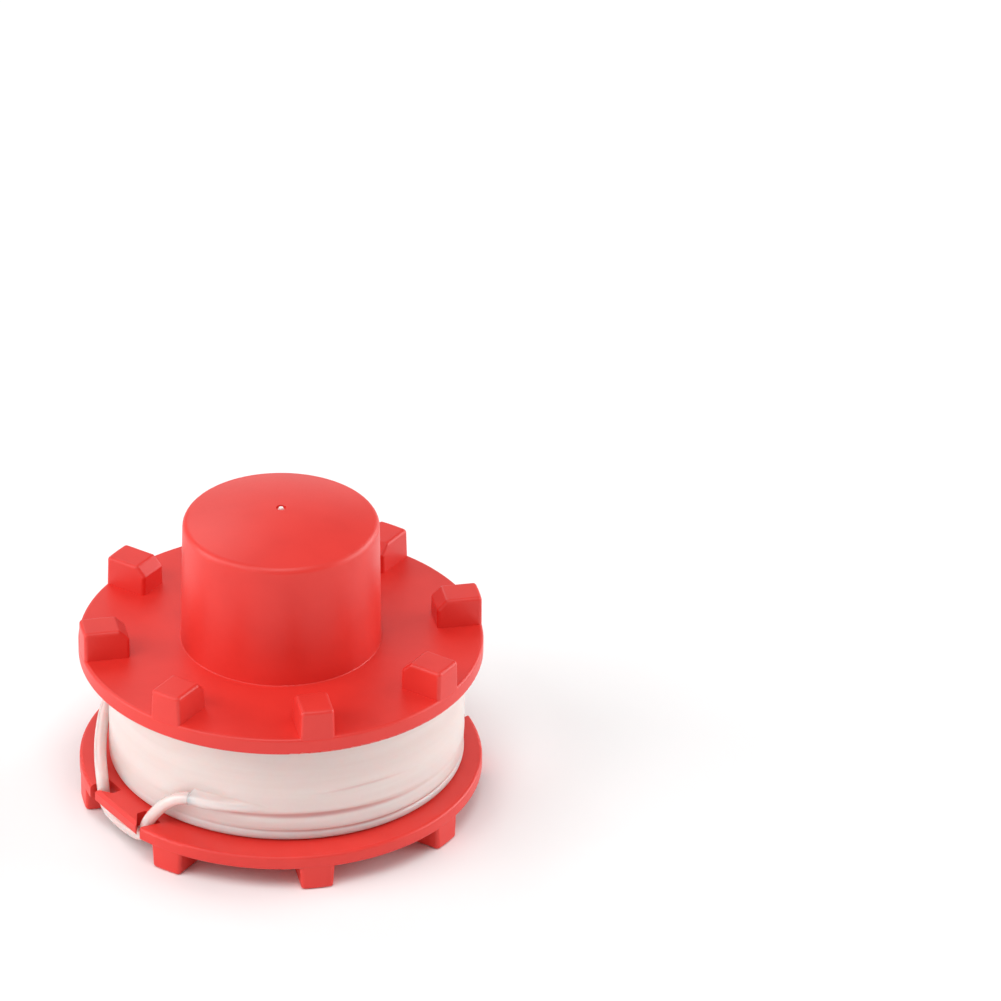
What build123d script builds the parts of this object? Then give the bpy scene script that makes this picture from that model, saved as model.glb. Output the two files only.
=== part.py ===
# Trimmer line spool: a two-flange spool with a bump knob, carrying its wound cutting line.
# Millimetres, +Z up along the spool's axis, origin on the axis level with the rib undersides.
import math
import os

from build123d import *

# cutting line
line_d = 2.0
line_clear = 0.1

# flanges and the groove between them
flange_d = 64.0
lower_flange_t = 2.4
upper_flange_t = 2.8
groove_w = 18.7
rim_round = 0.5

# drum, bore and bump knob
bore_d = 26.0
drum_wall = 2.85
knob_h = 20.7
knob_draft = 1.0
knob_edge_round = 1.3
knob_base_round = 0.15
crown_rise = 2.5
crown_t = 2.5
gate_d = 1.6
gate_depth = 0.35
gate_nub_d = 0.7

# ribs below and drive lugs above, in step with each other
rib_count = 8
rib_start = -79.6
rib_h = 3.8
rib_w = 5.6
rib_draft = 4.0
rib_bore_margin = 1.2
rib_ramp_run = 3.6
lug_h = 4.8
lug_w = 5.6
lug_len = 7.4
lug_draft = 2.5
lug_chamfer = 1.6
lug_round = 0.6
rib_round = 0.6
block_inset = 0.05

# line notches in the lower flange, in two opposite pairs: a narrow mouth opens into a wider pocket
mouth_in = 6.0
mouth_w = 1.3
mouth_lip = 1.1
pocket_in = 3.6
pocket_out = 8.0
pocket_depth = 4.4
barb_tip = 0.2
barb_run = 1.6
notch_round = 0.3
rim_flat = 0.9

# wound line, thicker on one side of the drum than on the other
winding_margin = 3.8
winding_shift_x = 0.9
winding_shift_y = 0.7
end_turn_drop = 0.75
turn_groove = 0.55

# loose end of the line, threaded down one notch and up the other
tail_under = 0.15
tail_in_along = 2.0
tail_in_across = 6.3
tail_low_along = 1.72
tail_low_across = 5.7
tail_out_along = 1.5
tail_up_across = 5.5
tail_out_across = 5.9
tail_out_drop = 0.6
tail_fold_r = 2.0
tail_lean_r = 2.0
tail_sweep_r = 20.0

# levels and radii that follow from the sizes above
flange_r = flange_d / 2
winding_r = flange_r - winding_margin
bore_r = bore_d / 2
drum_r = bore_r + drum_wall
rib_step = 360 / rib_count
lower_z0 = rib_h
lower_z1 = lower_z0 + lower_flange_t
upper_z0 = lower_z1 + groove_w
upper_z1 = upper_z0 + upper_flange_t
knob_edge_z = upper_z1 + knob_h
knob_top_r = drum_r - knob_h * math.tan(math.radians(knob_draft))
crown_z = knob_edge_z + crown_rise
bore_end_z = knob_edge_z - crown_t
crown_r = (knob_top_r**2 + crown_rise**2) / (2 * crown_rise)
gate_r = gate_d / 2
gate_nub_r = gate_nub_d / 2
notch_dir = rib_start - 1.5 * rib_step
notch_floor = flange_r - pocket_depth
rim_flat_r = flange_r - rim_flat
line_r = line_d / 2


def crown_level(r):
    """Height of the domed crown at that radius."""
    return crown_z - crown_r + math.sqrt(crown_r**2 - r**2)


def corner(r, z):
    """Pick out the section's corner at that radius and height."""
    return lambda v: abs(v.X - r) < 1e-4 and abs(v.Y - z) < 1e-4


# a notch seen from above, as steps out from the axis and to the side: a barb narrows the mouth
notch_outline = [
    (2 * flange_r, mouth_in),
    (rim_flat_r - barb_tip, mouth_in),
    (rim_flat_r - barb_tip - barb_run, pocket_in),
    (notch_floor, pocket_in),
    (notch_floor, pocket_out),
    (flange_r - mouth_lip, mouth_in + mouth_w),
    (2 * flange_r, mouth_in + mouth_w),
]

# what the flat between two notches takes off the rim, as steps out from the axis and up, with bevelled edges
rim_flat_cut = [
    (rim_flat_r - 2 * rim_round, lower_z1 + rim_round),
    (rim_flat_r, lower_z1 - rim_round),
    (rim_flat_r, lower_z0 + rim_round),
    (rim_flat_r - 2 * rim_round, lower_z0 - rim_round),
    (2 * flange_r, lower_z0 - rim_round),
    (2 * flange_r, lower_z1 + rim_round),
]

# one drive lug: a drafted block whose inner top edge is bevelled
with BuildPart() as lug:
    lug_foot_z = upper_z1 - upper_flange_t / 2
    lug_top_z = upper_z1 + lug_h
    lug_top_w = lug_w - 2 * lug_h * math.tan(math.radians(lug_draft))
    lug_foot_w = lug_w + upper_flange_t * math.tan(math.radians(lug_draft))
    with BuildSketch(Plane.YZ.offset(flange_r - lug_len)):
        with BuildLine():
            Polyline(
                (-lug_foot_w / 2, lug_foot_z),
                (lug_foot_w / 2, lug_foot_z),
                (lug_top_w / 2, lug_top_z),
                (-lug_top_w / 2, lug_top_z),
                close=True,
            )
        make_face()
    extrude(amount=2 * lug_len)
    chamfer(lug.edges().group_by(Axis.Z)[-1].sort_by(Axis.X)[0], length=lug_chamfer)
    Cylinder(flange_r - block_inset, 4 * lug_top_z, mode=Mode.INTERSECT)
    fillet(lug.edges().group_by(Axis.Z)[1:], lug_round)

# one rib: a drafted bar with a ramp at its inner end
with BuildPart() as rib:
    rib_foot_z = lower_z0 + lower_flange_t / 2
    rib_inner_r = bore_r + rib_bore_margin
    rib_sole_w = rib_w - 2 * rib_h * math.tan(math.radians(rib_draft))
    rib_foot_w = rib_w + lower_flange_t * math.tan(math.radians(rib_draft))
    with BuildSketch(Plane.YZ.offset(rib_inner_r)):
        with BuildLine():
            Polyline(
                (-rib_foot_w / 2, rib_foot_z),
                (rib_foot_w / 2, rib_foot_z),
                (rib_sole_w / 2, 0),
                (-rib_sole_w / 2, 0),
                close=True,
            )
        make_face()
    extrude(amount=flange_r)
    rib_sole = rib.faces().sort_by(Axis.Z)[0]
    chamfer(rib_sole.edges().sort_by(Axis.X)[0], length=rib_ramp_run, length2=rib_h / 2, reference=rib_sole)
    Cylinder(flange_r - block_inset, 4 * rib_foot_z, mode=Mode.INTERSECT)
    fillet(rib.edges().group_by(Axis.Z)[:-1], rib_round)

# the moulded spool: flanges, drum, blind bore, knob, lugs, ribs and notches in one piece
with BuildPart() as spool_body:
    with BuildSketch(Plane.XZ) as section:
        with BuildLine():
            Polyline(
                (bore_r, bore_end_z),
                (bore_r, lower_z0),
                (flange_r, lower_z0),
                (flange_r, lower_z1),
                (drum_r, lower_z1),
                (drum_r, upper_z0),
                (flange_r, upper_z0),
                (flange_r, upper_z1),
                (drum_r, upper_z1),
                (knob_top_r, knob_edge_z),
            )
            ThreePointArc(
                (knob_top_r, knob_edge_z),
                (knob_top_r / 2, crown_level(knob_top_r / 2)),
                (gate_r, crown_level(gate_r)),
            )
            Polyline(
                (gate_r, crown_level(gate_r)),
                (gate_r, crown_z - gate_depth),
                (gate_nub_r, crown_z - gate_depth),
                (gate_nub_r, crown_z),
                (0, crown_z),
                (0, bore_end_z + crown_rise),
            )
            TangentArc((0, bore_end_z + crown_rise), (bore_r, bore_end_z), tangent=(1, 0))
        make_face()
        for rim_z in (lower_z0, lower_z1, upper_z0, upper_z1):
            fillet(section.vertices().filter_by(corner(flange_r, rim_z)), rim_round)
        fillet(section.vertices().filter_by(corner(knob_top_r, knob_edge_z)), knob_edge_round)
        fillet(section.vertices().filter_by(corner(drum_r, upper_z1)), knob_base_round)
    revolve(axis=Axis.Z)
    with PolarLocations(0, rib_count, start_angle=rib_start):
        add(lug.part)
        add(rib.part)
    for pair_dir in (notch_dir, notch_dir + 180):
        out = Vector(1, 0, 0).rotate(Axis.Z, pair_dir)
        across = Vector(0, 1, 0).rotate(Axis.Z, pair_dir)
        with BuildSketch(Plane(origin=(0, 0, lower_z0 - line_r), x_dir=out, z_dir=(0, 0, 1))) as notch_pair:
            for side in (1, -1):
                with BuildLine():
                    Polyline(*[(along, side * x) for along, x in notch_outline], close=True)
                make_face()
            fillet(notch_pair.vertices(), notch_round)
        extrude(amount=lower_flange_t + 2 * line_r, mode=Mode.SUBTRACT)
        with BuildSketch(Plane(origin=(0, 0, 0), x_dir=out, z_dir=-across)):
            with BuildLine():
                Polyline(*rim_flat_cut, close=True)
            make_face()
        extrude(amount=mouth_in + mouth_w / 2, both=True, mode=Mode.SUBTRACT)

# the wound line: its turns stand as ridges side by side round the drum
turn_count = int(groove_w // line_d)
turn_pitch = (groove_w - 2 * line_clear) / turn_count
turn_z0 = lower_z1 + line_clear
turn_r = [winding_r - (end_turn_drop if i in (0, turn_count - 1) else 0.0) for i in range(turn_count)]
valley_r = [turn_r[0] - turn_groove]
for below, above in zip(turn_r[:-1], turn_r[1:]):
    valley_r.append(min(below, above) - turn_groove)
valley_r.append(turn_r[-1] - turn_groove)
winding_centre = (winding_shift_x, winding_shift_y, 0)

with BuildPart() as line_winding:
    with BuildSketch(Plane(origin=winding_centre, x_dir=(1, 0, 0), z_dir=(0, -1, 0))):
        with BuildLine():
            for i in range(turn_count):
                ThreePointArc(
                    (valley_r[i], turn_z0 + i * turn_pitch),
                    (turn_r[i], turn_z0 + (i + 0.5) * turn_pitch),
                    (valley_r[i + 1], turn_z0 + (i + 1) * turn_pitch),
                )
            Polyline(
                (valley_r[-1], turn_z0 + turn_count * turn_pitch),
                (0, turn_z0 + turn_count * turn_pitch),
                (0, turn_z0),
                (valley_r[0], turn_z0),
            )
        make_face()
    revolve(axis=Axis(winding_centre, (0, 0, 1)))
    Cylinder(drum_r + line_clear, 4 * groove_w, mode=Mode.SUBTRACT)

# the loose end: off the winding, down one notch, under the rim, up the other, against the winding
tail_low_z = lower_z0 - tail_under - line_r


def round_winding(angle, lift, z):
    """A point beside the winding: turned about its centre, lifted off its outer turns."""
    reach = winding_r + line_r + line_clear + lift
    a = math.radians(angle)
    return (winding_shift_x + reach * math.cos(a), winding_shift_y + reach * math.sin(a), z)


def by_notches(along, across, z):
    """A point along the notch pair's direction and across it."""
    a = math.radians(notch_dir)
    return (along * math.cos(a) - across * math.sin(a), along * math.sin(a) + across * math.cos(a), z)


tail_route = [
    round_winding(147.0, 0.1, lower_z1 + 5.0),
    round_winding(157.0, 0.15, lower_z1 + 4.7),
    round_winding(167.0, 0.25, lower_z1 + 4.3),
    round_winding(181.4, 0.35, lower_z1 + 3.3),
    round_winding(192.7, 1.1, lower_z1 + 2.1),
    by_notches(notch_floor + tail_in_along, -tail_in_across, lower_z1 + 0.8),
    by_notches(notch_floor + tail_low_along, -tail_low_across, tail_low_z),
    by_notches(notch_floor + tail_low_along, tail_up_across, tail_low_z),
    by_notches(notch_floor + tail_out_along, tail_out_across, lower_z1 - tail_out_drop),
    round_winding(237.8, 0.1, lower_z1 + 7.2),
]
tail_radii = [
    tail_sweep_r, tail_sweep_r, tail_sweep_r, tail_sweep_r,
    tail_fold_r, tail_fold_r, tail_fold_r, tail_lean_r,
]

with BuildPart() as line_tail:
    with BuildLine() as tail_path:
        FilletPolyline(*tail_route, radius=tail_radii)
    with BuildSketch(Plane(origin=tail_path.line @ 0, z_dir=tail_path.line % 0)):
        Circle(line_r)
    sweep(path=tail_path.line)

print("line tail: bend radii", tail_radii)
tail_length = sum(edge.length for edge in tail_path.edges())
tube_volume = math.pi * line_r**2 * tail_length
print(f"line tail: length {tail_length:.1f}, volume {line_tail.part.volume:.1f}, tube {tube_volume:.1f}")

os.makedirs("parts", exist_ok=True)
spool_body.part.label = "spool_body"
line_winding.part.label = "line_winding"
line_tail.part.label = "line_tail"
export_step(spool_body.part, "parts/spool_body.step")
export_step(line_winding.part, "parts/line_winding.step")
export_step(line_tail.part, "parts/line_tail.step")
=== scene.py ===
import math

import bpy
import numpy as np
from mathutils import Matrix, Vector


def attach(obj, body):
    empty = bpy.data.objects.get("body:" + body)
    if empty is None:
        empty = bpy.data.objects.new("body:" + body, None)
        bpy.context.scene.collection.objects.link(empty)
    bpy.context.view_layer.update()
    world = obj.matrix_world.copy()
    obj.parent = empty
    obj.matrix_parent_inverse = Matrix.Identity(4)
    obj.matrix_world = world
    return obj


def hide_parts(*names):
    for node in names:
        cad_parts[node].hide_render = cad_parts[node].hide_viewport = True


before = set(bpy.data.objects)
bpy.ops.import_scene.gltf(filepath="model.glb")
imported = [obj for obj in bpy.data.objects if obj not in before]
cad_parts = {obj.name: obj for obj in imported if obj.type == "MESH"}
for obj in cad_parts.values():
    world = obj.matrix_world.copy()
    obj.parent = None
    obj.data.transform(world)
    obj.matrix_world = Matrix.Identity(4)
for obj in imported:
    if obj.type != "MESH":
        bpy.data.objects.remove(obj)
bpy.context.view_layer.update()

MM = 0.001

# The wound line, in millimetres: its radius, the winding's axis, radius and height, and the hole for the drum
line_r = 1.0
wind_x = 0.9
wind_y = 0.7
wind_r = 28.2
wind_z0 = 6.3
wind_z1 = 24.8
turn_count = 9
turn_pitch = (wind_z1 - wind_z0) / turn_count
drum_clear_r = 15.98

# The skin's grid, and its map's places off the outer face, in millimetres: where it starts, at the hole's
# lower edge, and how far past the winding's top the hole's upper edge and the map's end lie
skin_columns = 360
skin_rows = 150
map_start = -10.0
map_face = 10.0
map_end = 25.0

# Grooves between turns, in millimetres and degrees. They are faint in front, each by its own share, and deeper
# at the back, and they wander in two waves. full_groove is the depth that counts as all the way in
faint_depth = 0.03
faint_mean = 0.6
faint_swing = 0.4
faint_phase = 2.3
faint_width = 0.30
back_depth = 0.14
back_angle = 90.0
back_reach = 110.0
full_groove = 0.28
slow_wander = 0.10
slow_phase = 1.9
quick_wander = 0.06
quick_phase = 1.1

# Grooves that stand out in front, by the turn below each: middle angle, reach, rise above the even spacing,
# added depth and half width
front_grooves = {
    1: (-60.0, 95.0, -0.40, 0.22, 0.28),
    2: (-80.0, 70.0, 0.45, 0.26, 0.55),
    4: (-64.0, 32.0, 0.60, 0.14, 0.36),
    6: (-120.0, 60.0, -0.30, 0.03, 0.40),
}
plain_groove = (0.0, 1.0, 0.0, 0.0, faint_width)

# Where the line steps up to its next turn, in degrees
step_angle = 95.0
step_reach = 24.0

# The winding's swell: its height in millimetres, and how far its two waves turn in each millimetre upwards, in
# radians
swell_height = 0.06
swell_slow = 0.5
swell_quick = 0.9

# The loose end's control points, in millimetres
loose_route = [
    (-23.76, 16.71, 11.2),
    (-26.21, 12.21, 10.9),
    (-27.85, 7.35, 10.5),
    (-28.60, -0.02, 9.5),
    (-28.65, -5.98, 8.6),
    (-28.25, -10.60, 8.0),
    (-27.82, -10.85, 2.6),
    (-25.10, -15.60, 2.2),
    (-21.40, -20.72, 2.75),
    (-21.22, -20.82, 6.0),
    (-16.90, -22.78, 11.8),
    (-14.20, -24.40, 12.4),
]

# Where the winding carries the loose end on, at both of its ends: the end's place, the angle over which the
# turn sinks into the winding, in degrees, and how far it climbs as it does. A turn starts with a wall between
# two close angles, and wall_start is the share of the turn that stays at the wall's foot
joins = [(loose_route[0], -34.0, 0.3), (loose_route[-1], 30.0, -0.3)]
sunk_r = wind_r - 1.2 * line_r
wall_angle = 0.05
wall_start = 1e-6

# The values that a noise mostly takes, and how far into a groove its painted shade starts and is full
noise_span = (0.3, 0.7)
groove_shade_span = (0.2, 1.0)

# The floor's half side and the soft boxes' side and distance, in metres, the room's own light, and each box's
# azimuth, elevation and watts
floor_half = 3.0
world_strength = 0.30
box_side = 0.7
box_away = 1.4
soft_boxes = {
    "left_front_low_box": (-120.0, 16.0, 1.6),
    "left_front_high_box": (-150.0, 42.0, 5.3),
    "left_low_box": (180.0, 16.0, 7.5),
    "front_top_box": (-90.0, 68.0, 6.55),
    "right_low_box": (0.0, 16.0, 6.3),
    "right_back_low_box": (30.0, 16.0, 7.1),
    "back_low_box": (90.0, 16.0, 1.0),
    "left_back_high_box": (120.0, 42.0, 3.45),
}

# The camera: the height on the axis that it looks at, in millimetres, its elevation in degrees and distance in
# metres, the frame, focal length and looked-at point in pixels, its sensor, and its range in metres
look_z = 17.4
view_elevation = 31.3
view_away = 1.6
frame_px = 1001.0
focal_px = 10095.0
place_px = (281.0, 690.0)
sensor_mm = 36.0
nearest_seen = 0.05
furthest_seen = 20.0


def smooth_step(x):
    """Zero below 0, one above 1, and 3x^2 - 2x^3 between them."""
    t = np.clip(x, 0.0, 1.0)
    return t * t * (3.0 - 2.0 * t)


def bump_at(angle, middle, width):
    """A round hump of height 1 at the middle angle, gone one width away; degrees, taken round the circle."""
    off = (angle - middle + 180.0) % 360.0 - 180.0
    return 1.0 - smooth_step(np.abs(off) / width)


def closed_grid(name, points, uv):
    """A mesh whose grid of points closes on itself both ways: each quad joins a point to its neighbours along
    and across. The map has one row and one column more than the points, for the quads that close it."""
    n, m = points.shape[:2]
    index = np.arange(n * m).reshape(n, m)
    i, j = np.meshgrid(np.arange(n), np.arange(m), indexing="ij")
    i2 = (i + 1) % n
    j2 = (j + 1) % m
    quads = np.stack([index[i, j], index[i2, j], index[i2, j2], index[i, j2]], axis=-1).reshape(-1, 4)
    corner_uv = np.stack([uv[i, j], uv[i + 1, j], uv[i + 1, j + 1], uv[i, j + 1]], axis=2)
    mesh = bpy.data.meshes.new(name)
    mesh.vertices.add(n * m)
    mesh.vertices.foreach_set("co", (points * MM).astype(np.float32).ravel())
    mesh.loops.add(quads.size)
    mesh.loops.foreach_set("vertex_index", quads.astype(np.int32).ravel())
    mesh.polygons.add(len(quads))
    mesh.polygons.foreach_set("loop_start", (4 * np.arange(len(quads))).astype(np.int32))
    mesh.polygons.foreach_set("use_smooth", np.ones(len(quads), dtype=bool))
    mesh.update(calc_edges=True)
    mesh.validate()
    layer = mesh.uv_layers.new(name="along_line")
    layer.data.foreach_set("uv", corner_uv.astype(np.float32).ravel())
    piece = bpy.data.objects.new(name, mesh)
    bpy.context.scene.collection.objects.link(piece)
    return piece


def join_start(place):
    """A place's angle round the winding's axis, in degrees, and its distance from that axis."""
    x = place[0] - wind_x
    y = place[1] - wind_y
    return math.degrees(math.atan2(y, x)), math.hypot(x, y)


def skin_angles():
    """Even angles round the winding's axis, in degrees, with a close pair where each joining turn starts."""
    angles = list(np.linspace(-180.0, 180.0, skin_columns, endpoint=False))
    for place, sweep, _ in joins:
        start_angle, _ = join_start(place)
        angles += [start_angle, start_angle + math.copysign(wall_angle, sweep)]
    return np.sort(angles)[:, None]


def groove_cut(angle, z):
    """The grooves' depth over angle and height: for each groove a bell across its height, times a depth that is
    faint in front, more at the back, and more again where a groove stands out. The grooves wander a little, and
    rise by one pitch at the back, where the line steps up to its next turn."""
    a = np.radians(angle)
    step = smooth_step((angle - step_angle + step_reach) / (2.0 * step_reach))
    level = 1.0 - bump_at(angle, step_angle, 2.0 * step_reach)
    behind = bump_at(angle, back_angle, back_reach)
    cut = np.zeros((len(angle), z.shape[1]))
    for i in range(turn_count + 1):
        middle, reach, rise, added, width = front_grooves.get(i, plain_groove)
        near = bump_at(angle, middle, reach)
        waves = slow_wander * np.sin(a + slow_phase * i) + quick_wander * np.sin(2.0 * a - quick_phase * i)
        wander = level * waves + rise * near
        edge = wind_z0 + turn_pitch * (i + step) + wander
        spread = faint_width + (width - faint_width) * near
        share = faint_mean + faint_swing * math.sin(faint_phase * i)
        plain = faint_depth * share + back_depth * behind
        cut = cut + (plain + added * near) * np.exp(-(((z - edge) / spread) ** 2))
    return cut


def joining_turns(angle, z):
    """How far out the turns reach that carry the loose end on, over angle and height: a circle of the line's
    radius, whose middle starts at the loose end's end and eases to below the winding's skin. Zero beside
    them."""
    out = np.zeros((len(angle), z.shape[1]))
    for place, sweep, climb in joins:
        start_angle, start_r = join_start(place)
        t = (angle - start_angle) / sweep
        sunk = smooth_step(t)
        off = z - place[2] - climb * sunk
        top = start_r + (sunk_r - start_r) * sunk + np.sqrt(np.clip(line_r**2 - off**2, 0.0, None))
        here = (t > wall_start) & (t < 1.0) & (np.abs(off) < line_r)
        out = np.where(here, np.maximum(out, top), out)
    return out


def wound_skin():
    """The winding's closed skin, over the angle round its axis and the way round its section: out along the
    lower face, up the outer face, in along the upper face and down the hole for the drum. On the outer face the
    radius is the winding's own, less a quarter round of one line's radius at each end, less the grooves, plus a
    swell that is two waves multiplied, or the reach of a joining turn where that is more. It gives the points,
    their map, and how deep each point lies in a groove, from 0 to 1."""
    angle = skin_angles()
    a = np.radians(angle)
    even = 0.5 - 0.5 * np.cos(np.linspace(0.0, math.pi, skin_rows))[None, :]
    z = wind_z0 + (wind_z1 - wind_z0) * even
    to_end = np.minimum(z - wind_z0, wind_z1 - z)
    r = wind_r - line_r + np.sqrt(line_r**2 - np.clip(line_r - to_end, 0.0, line_r) ** 2)
    cut = groove_cut(angle, z)
    swell = swell_height * np.sin(2.0 * a + swell_slow * z) * np.sin(swell_quick * z + a)
    r = r - cut + swell * smooth_step(to_end / line_r)
    r = np.maximum(r, joining_turns(angle, z))
    outer = np.stack([wind_x + r * np.cos(a), wind_y + r * np.sin(a), np.broadcast_to(z, r.shape)], axis=-1)
    hole_x = drum_clear_r * np.cos(a)
    hole_y = drum_clear_r * np.sin(a)
    low = np.stack([hole_x, hole_y, np.full_like(a, wind_z0)], axis=-1)
    high = np.stack([hole_x, hole_y, np.full_like(a, wind_z1)], axis=-1)
    points = np.concatenate([low, outer, high], axis=1)
    run = np.radians(np.append(angle[:, 0], 180.0)) * wind_r
    way = np.concatenate([[map_start], z[0], [wind_z1 + map_face, wind_z1 + map_end]])
    u, v = np.meshgrid(run, way, indexing="ij")
    in_groove = np.pad(np.clip(cut / full_groove, 0.0, 1.0), ((0, 0), (1, 1)))
    return points, np.stack([u, v], axis=-1), in_groove


class Socket:
    """A node's output. Each operator adds one Math node and gives its output."""

    def __init__(self, finish, link):
        self.finish = finish
        self.link = link

    def maths(self, operation, first, second):
        return self.finish.node("ShaderNodeMath", {"operation": operation}, {0: first, 1: second})

    def __add__(self, other):
        return self.maths("ADD", self, other)

    def __radd__(self, other):
        return self.maths("ADD", other, self)

    def __sub__(self, other):
        return self.maths("SUBTRACT", self, other)

    def __rsub__(self, other):
        return self.maths("SUBTRACT", other, self)

    def __mul__(self, other):
        return self.maths("MULTIPLY", self, other)

    def __rmul__(self, other):
        return self.maths("MULTIPLY", other, self)

    def __pow__(self, other):
        return self.maths("POWER", self, other)

    def __rpow__(self, other):
        return self.maths("POWER", other, self)


class Finish:
    """One material: its constants go on the shader's own sockets, and node() adds the nodes that vary it."""

    def __init__(self, name, constants):
        self.material = bpy.data.materials.new(name)
        self.material.use_nodes = True
        self.tree = self.material.node_tree
        self.shader = self.tree.nodes["Principled BSDF"]
        for socket, value in constants.items():
            self.shader.inputs[socket].default_value = value

    def node(self, kind, settings, sockets, out=0):
        """A node of that kind with its settings made, then its sockets filled or linked; gives one output."""
        made = self.tree.nodes.new(kind)
        for key, value in settings.items():
            setattr(made, key, value)
        for key, value in sockets.items():
            if isinstance(value, Socket):
                self.tree.links.new(value.link, made.inputs[key])
            else:
                made.inputs[key].default_value = value
        return Socket(self, made.outputs[out])

    def feed(self, name, value):
        """Links a value to the shader's socket of that name."""
        self.tree.links.new(value.link, self.shader.inputs[name])

    def places(self, source, scale):
        """Object coordinates or the piece's own UV map, stretched by scale."""
        spot = self.node("ShaderNodeTexCoord", {}, {}, source)
        return self.node("ShaderNodeMapping", {}, {"Vector": spot, "Scale": scale})

    def split(self, spot):
        """The X, Y and Z of a vector."""
        made = self.node("ShaderNodeSeparateXYZ", {}, {"Vector": spot}).link.node
        return [Socket(self, made.outputs[axis]) for axis in "XYZ"]

    def noise(self, spot, scale, detail, rough):
        """Noise from 0 to 1 at that scale."""
        sockets = {"Vector": spot, "Scale": scale, "Detail": detail, "Roughness": rough}
        return self.node("ShaderNodeTexNoise", {}, sockets)

    def between(self, low, high, value):
        """0 where value is at low, 1 where it is at high, smooth between."""
        sockets = {"Value": value, "From Min": low, "From Max": high}
        return self.node("ShaderNodeMapRange", {"interpolation_type": "SMOOTHSTEP"}, sockets)

    def mix(self, amount, first, second):
        """A colour between two colours, which are the Mix node's sockets 6 and 7, from its output 2."""
        shades = [shade if isinstance(shade, Socket) else (*shade, 1.0) for shade in (first, second)]
        sockets = {"Factor": amount, 6: shades[0], 7: shades[1]}
        return self.node("ShaderNodeMix", {"data_type": "RGBA"}, sockets, 2)

    def bump(self, height, strength, distance):
        """A normal bumped by height."""
        sockets = {"Strength": strength, "Distance": distance, "Height": height}
        return self.node("ShaderNodeBump", {}, sockets, "Normal")


def red_moulding():
    """Satin red nylon: slow mottle in the colour, a fine grain in roughness and bump, and a painted highlight:
    the sprue mark at the crown's middle is painted near-white for the glint on its nub."""
    deep_red = (0.70, 0.028, 0.020)
    bright_red = (0.76, 0.035, 0.025)
    gate_glint_white = (0.90, 0.80, 0.77)
    gate_r = (0.00042, 0.00058)
    gate_z = (0.0500, 0.0503)
    finish = Finish("red_moulding", {"IOR": 1.50, "Specular IOR Level": 0.5})
    spot = finish.places("Object", (1.0, 1.0, 1.0))
    mottle = finish.noise(spot, scale=70.0, detail=3.0, rough=0.55)
    grain = finish.noise(spot, scale=2600.0, detail=3.0, rough=0.6)
    across, depth, height = finish.split(spot)
    off_axis = (across * across + depth * depth) ** 0.5
    # Painted highlight: the sprue mark at the crown's middle is painted near-white
    gate_glint_mask = (1.0 - finish.between(*gate_r, off_axis)) * finish.between(*gate_z, height)
    red = finish.mix(finish.between(*noise_span, mottle), deep_red, bright_red)
    finish.feed("Base Color", finish.mix(gate_glint_mask, red, gate_glint_white))
    finish.feed("Roughness", 0.34 + 0.10 * grain + 0.05 * mottle)
    finish.feed("Normal", finish.bump(grain, strength=0.10, distance=0.00006))
    return finish.material


def nylon(name, through, scatter):
    """Milky clear nylon: a share of the light goes through, and the rest scatters inside over that distance,
    in metres."""
    return Finish(
        name,
        {
            "IOR": 1.53,
            "Specular IOR Level": 0.8,
            "Transmission Weight": through,
            "Subsurface Weight": 1.0,
            "Subsurface Radius": (1.0, 0.60, 0.55),
            "Subsurface Scale": scatter,
        },
    )


def wound_nylon():
    """Nylon in turns: long faint streaks follow the line, on the skin's own map. Its milk carries a slight
    painted pink, a painted red bounce from the spool, and the grooves are painted darker and pinker still:
    painted shade."""
    dull_milk_bounce_pink = (0.91, 0.76, 0.72)
    clear_milk_bounce_pink = (0.94, 0.80, 0.76)
    groove_shade_pink = (0.70, 0.38, 0.36)
    finish = nylon("wound_nylon", through=0.15, scatter=0.006)
    spot = finish.places("UV", (0.02, 0.45, 1.0))
    streak = finish.noise(spot, scale=1.0, detail=3.0, rough=0.6)
    in_groove = finish.node("ShaderNodeAttribute", {"attribute_name": "groove"}, {}, "Fac")
    # Painted red bounce: the milk is tinted pink; painted shade: deeper in a groove the colour turns a darker
    # pink
    milky = finish.mix(finish.between(*noise_span, streak), dull_milk_bounce_pink, clear_milk_bounce_pink)
    finish.feed("Base Color", finish.mix(finish.between(*groove_shade_span, in_groove), milky, groove_shade_pink))
    finish.feed("Roughness", 0.24 + 0.14 * streak)
    finish.feed("Normal", finish.bump(streak, strength=0.06, distance=0.0001))
    return finish.material


def loose_nylon():
    """The same nylon on the loose end, clearer because it is one line thick, streaked by stretched noise. Its
    pink is a painted red bounce from the spool.
    """
    dull_pink_bounce = (0.95, 0.70, 0.67)
    clear_pink_bounce = (0.98, 0.77, 0.74)
    finish = nylon("loose_nylon", through=0.20, scatter=0.002)
    spot = finish.places("Object", (260.0, 260.0, 90.0))
    streak = finish.noise(spot, scale=1.0, detail=3.0, rough=0.6)
    # The pink in these colours is painted red bounce from the spool
    finish.feed("Base Color", finish.mix(finish.between(*noise_span, streak), dull_pink_bounce, clear_pink_bounce))
    finish.feed("Roughness", 0.18 + 0.12 * streak)
    finish.feed("Normal", finish.bump(streak, strength=0.10, distance=0.0001))
    return finish.material


def pale_floor():
    """A plain near-white floor with a barely mottled finish."""
    grey_white = (0.93, 0.93, 0.93)
    clean_white = (0.95, 0.95, 0.95)
    finish = Finish("pale_floor", {"Roughness": 0.8, "Specular IOR Level": 0.2})
    spot = finish.places("Object", (1.0, 1.0, 1.0))
    cloud = finish.noise(spot, scale=6.0, detail=2.0, rough=0.5)
    finish.feed("Base Color", finish.mix(cloud, grey_white, clean_white))
    return finish.material


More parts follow.
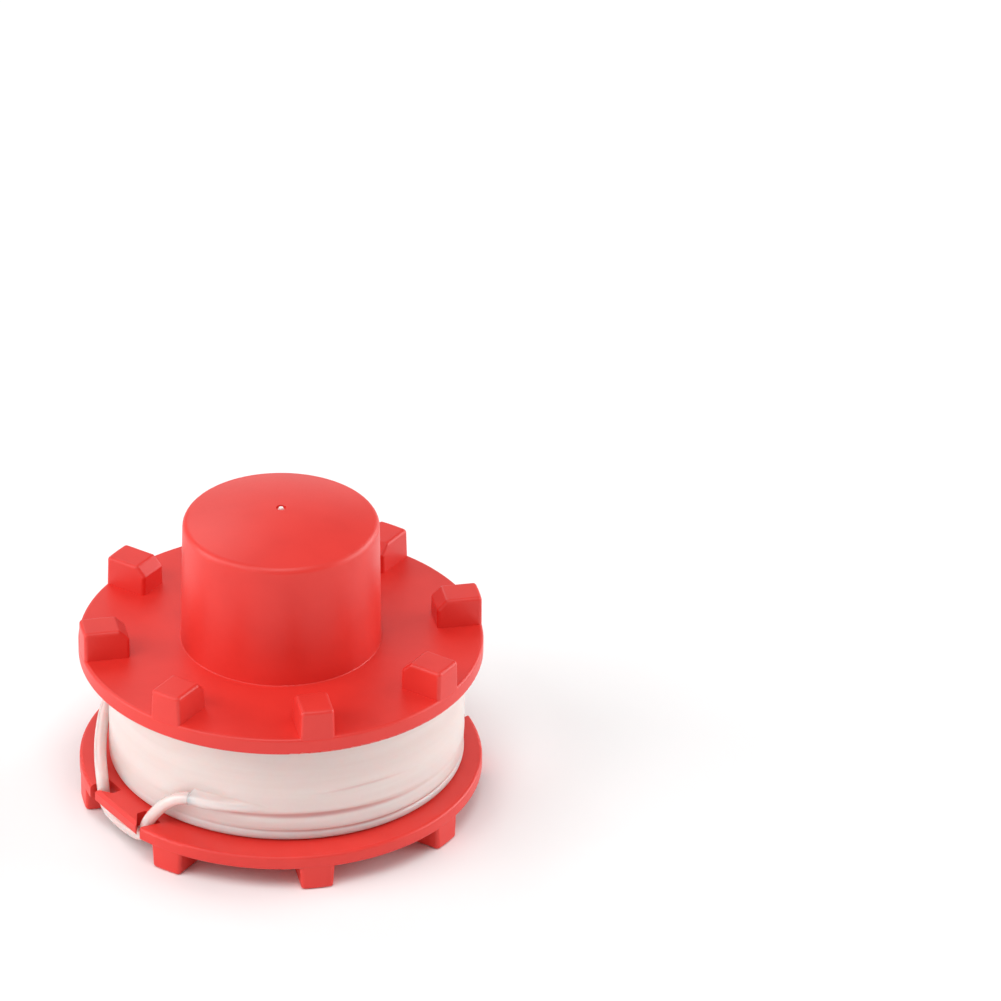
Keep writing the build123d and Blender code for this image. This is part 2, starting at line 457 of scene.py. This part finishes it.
def soft_box(name, azimuth, elevation, power):
    """A square soft light in that direction from the spool, facing it; azimuth runs from +X towards +Y."""
    light = bpy.data.lights.new(name, "AREA")
    light.shape = "SQUARE"
    light.size = box_side
    light.energy = power
    lamp = bpy.data.objects.new(name, light)
    turn = math.radians(azimuth)
    rise = math.radians(elevation)
    way = Vector((math.cos(turn) * math.cos(rise), math.sin(turn) * math.cos(rise), math.sin(rise)))
    lamp.location = way * box_away
    lamp.rotation_mode = "QUATERNION"
    lamp.rotation_quaternion = (-way).to_track_quat("-Z", "Y")
    bpy.context.scene.collection.objects.link(lamp)


# The spool keeps its solid and gets its finish
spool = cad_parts["spool_body"]
spool.data.materials.clear()
spool.data.materials.append(red_moulding())

# The winding
skin, skin_uv, skin_groove = wound_skin()
winding = closed_grid("wound_line", skin, skin_uv)
groove = winding.data.attributes.new("groove", "FLOAT", "POINT")
groove.data.foreach_set("value", skin_groove.ravel().astype(np.float32))
winding.data.materials.append(wound_nylon())
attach(winding, "root")
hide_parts("line_winding")

# The loose end
curve = bpy.data.curves.new("loose_end", "CURVE")
curve.dimensions = "3D"
spline = curve.splines.new("NURBS")
spline.points.add(len(loose_route) - 1)
for point, (x, y, z) in zip(spline.points, loose_route):
    point.co = (x * MM, y * MM, z * MM, 1.0)
spline.order_u = 3
spline.use_endpoint_u = True
spline.resolution_u = 16
curve.bevel_depth = line_r * MM
curve.bevel_resolution = 5
curve.use_fill_caps = True
loose_end = bpy.data.objects.new("loose_end", curve)
bpy.context.scene.collection.objects.link(loose_end)
curve.materials.append(loose_nylon())
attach(loose_end, "root")
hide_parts("line_tail")

# The floor
floor_corners = [
    (-floor_half, -floor_half, 0.0),
    (floor_half, -floor_half, 0.0),
    (floor_half, floor_half, 0.0),
    (-floor_half, floor_half, 0.0),
]
floor_mesh = bpy.data.meshes.new("floor")
floor_mesh.from_pydata(floor_corners, [], [(0, 1, 2, 3)])
floor = bpy.data.objects.new("floor", floor_mesh)
bpy.context.scene.collection.objects.link(floor)
floor_mesh.materials.append(pale_floor())

# The light
world = bpy.data.worlds.new("white_room")
world.use_nodes = True
background = world.node_tree.nodes["Background"]
background.inputs["Color"].default_value = (1.0, 1.0, 1.0, 1.0)
background.inputs["Strength"].default_value = world_strength
bpy.context.scene.world = world
for box_name, placing in soft_boxes.items():
    soft_box(box_name, *placing)

# The camera: the point it looks at lies left of and below the frame's centre
camera = bpy.data.cameras.new("camera")
camera.sensor_width = sensor_mm
camera.lens = sensor_mm * focal_px / frame_px
camera.clip_start = nearest_seen
camera.clip_end = furthest_seen
eye = bpy.data.objects.new("camera", camera)
view_rise = math.radians(view_elevation)
back = Vector((0.0, -math.cos(view_rise), math.sin(view_rise)))
eye.location = Vector((0.0, 0.0, look_z * MM)) + view_away * back
middle_px = frame_px / 2.0
seen = Vector((place_px[0] - middle_px, middle_px - place_px[1], -focal_px)).normalized()
to_middle = seen.rotation_difference(Vector((0.0, 0.0, -1.0)))
eye.rotation_mode = "QUATERNION"
eye.rotation_quaternion = (-back).to_track_quat("-Z", "Y") @ to_middle
bpy.context.scene.collection.objects.link(eye)
bpy.context.scene.camera = eye
bpy.context.scene.view_settings.view_transform = "Standard"
